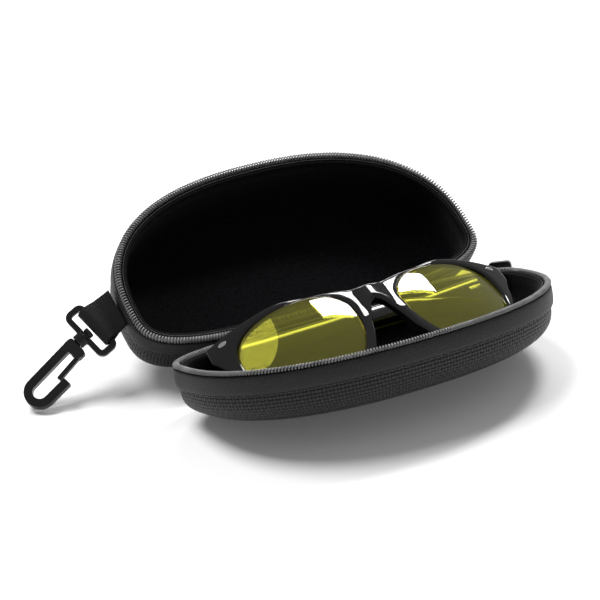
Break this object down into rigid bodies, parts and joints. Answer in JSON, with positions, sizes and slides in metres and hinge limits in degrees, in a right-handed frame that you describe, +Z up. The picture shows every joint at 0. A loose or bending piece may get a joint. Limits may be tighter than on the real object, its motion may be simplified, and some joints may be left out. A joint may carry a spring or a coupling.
{
  "type": "sunglasses in a clip-on zip case",
  "caption": "Sunglasses with tinted lenses and folding temples, in an open moulded zip case with a velvet lining, webbing loop, ring and swivel snap hook.",
  "frame": {"origin": "on the table, at the pressed foot that the case's tray stands on, under the middle of its length", "axes": "+X along the hinge to the glasses wearer's left as the case faces the viewer, -Y towards the opening side of the tray, +Z up"},
  "size_m": [0.2135, 0.1516, 0.0613],
  "materials": {
    "woven_board": "ballistic weave laminated on moulded foam",
    "velvet": "brushed velvet",
    "smooth_band": "smooth matte band",
    "zip_tape": "woven tape",
    "zip_coil": "nylon coil, satin",
    "zip_metal": "black enamel",
    "webbing": "woven webbing",
    "hook_plastic": "satin moulded",
    "frame_plastic": "polished",
    "lens_tint": "yellow green tint, polished",
    "bright_metal": "polished",
    "hinge_metal": "stamped"
  },
  "bodies": {
    "tray": {"tray_shell": "woven_board", "tray_lining": "velvet", "tray_band": "smooth_band", "tray_zip_tape": "zip_tape", "tray_zip_coil": "zip_coil", "tray_zip_stops": "zip_metal", "hinge_strip": "smooth_band"},
    "lid": {"lid_shell": "woven_board", "lid_lining": "velvet", "lid_band": "smooth_band", "lid_zip_tape": "zip_tape", "lid_zip_coil": "zip_coil", "lid_zip_stops": "zip_metal", "strap_loop": "webbing"},
    "slider": {"zip_slider": "zip_metal"},
    "pull": {"zip_pull": "zip_metal"},
    "ring": {"swivel_ring": "hook_plastic"},
    "hook": {"hook_body": "hook_plastic"},
    "gate": {"hook_gate": "hook_plastic"},
    "glasses": {"front_frame": "frame_plastic", "lens_left": "lens_tint", "lens_right": "lens_tint", "front_rivet_left": "bright_metal", "front_rivet_right": "bright_metal", "front_hinge_left": "hinge_metal", "front_hinge_right": "hinge_metal", "hinge_screw_left": "hinge_metal", "hinge_screw_right": "hinge_metal"},
    "temple_left": {"temple_left": "frame_plastic", "temple_hinge_left": "hinge_metal", "temple_rivet_left": "bright_metal"},
    "temple_right": {"temple_right": "frame_plastic", "temple_hinge_right": "hinge_metal", "temple_rivet_right": "bright_metal"}
  },
  "joints": [
    {"name": "lid_hinge", "type": "hinge", "parent": "tray", "child": "lid", "pos_m": [0, 0.01546, 0.02153], "axis": [1, 0, 0], "range_deg": [-36, 131.94], "deforming": ["hinge_strip"]},
    {"name": "zip_slide", "type": "slide", "parent": "tray", "child": "slider", "axis": [0.7499, -0.6343, 0.1879], "range_m": [0, 0.006]},
    {"name": "pull_flip", "type": "hinge", "parent": "slider", "child": "pull", "pos_m": [0.08134, 0.01051, 0.02216], "axis": [0.7499, -0.6343, 0.1879], "range_deg": [0, 150]},
    {"name": "ring_swing", "type": "hinge", "parent": "lid", "child": "ring", "pos_m": [-0.09155, 0.04427, 0.02655], "axis": [0.2882, -0.8207, -0.4933], "range_deg": [-75, 75]},
    {"name": "hook_swivel", "type": "hinge", "parent": "ring", "child": "hook", "pos_m": [-0.09457, 0.04427, 0.02478], "axis": [-0.8634, 0, -0.5045], "continuous": true},
    {"name": "gate_press", "type": "hinge", "parent": "hook", "child": "gate", "pos_m": [-0.10144, 0.0405, 0.01772], "axis": [0.4141, 0.5713, -0.7086], "range_deg": [0, 14], "stiffness_Nm_per_rad": 0.05, "springref_deg": -5.73},
    {"name": "glasses_lift", "type": "slide", "parent": "tray", "child": "glasses", "axis": [0, -0.2079, 0.9781], "range_m": [0, 0.3]},
    {"name": "temple_left_fold", "type": "hinge", "parent": "glasses", "child": "temple_left", "pos_m": [-0.0642, -0.00409, 0.02465], "axis": [0, 0.9164, 0.4003], "range_deg": [0, 91.7]},
    {"name": "temple_right_fold", "type": "hinge", "parent": "glasses", "child": "temple_right", "pos_m": [0.0642, -0.00409, 0.02465], "axis": [0, -0.9164, -0.4003], "range_deg": [0, 88.2]}
  ],
  "couplings": [
    {"joint": "temple_left_fold", "follows": "glasses_lift", "rad_per_m": 0.15},
    {"joint": "temple_right_fold", "follows": "glasses_lift", "rad_per_m": 5.1022}
  ]
}
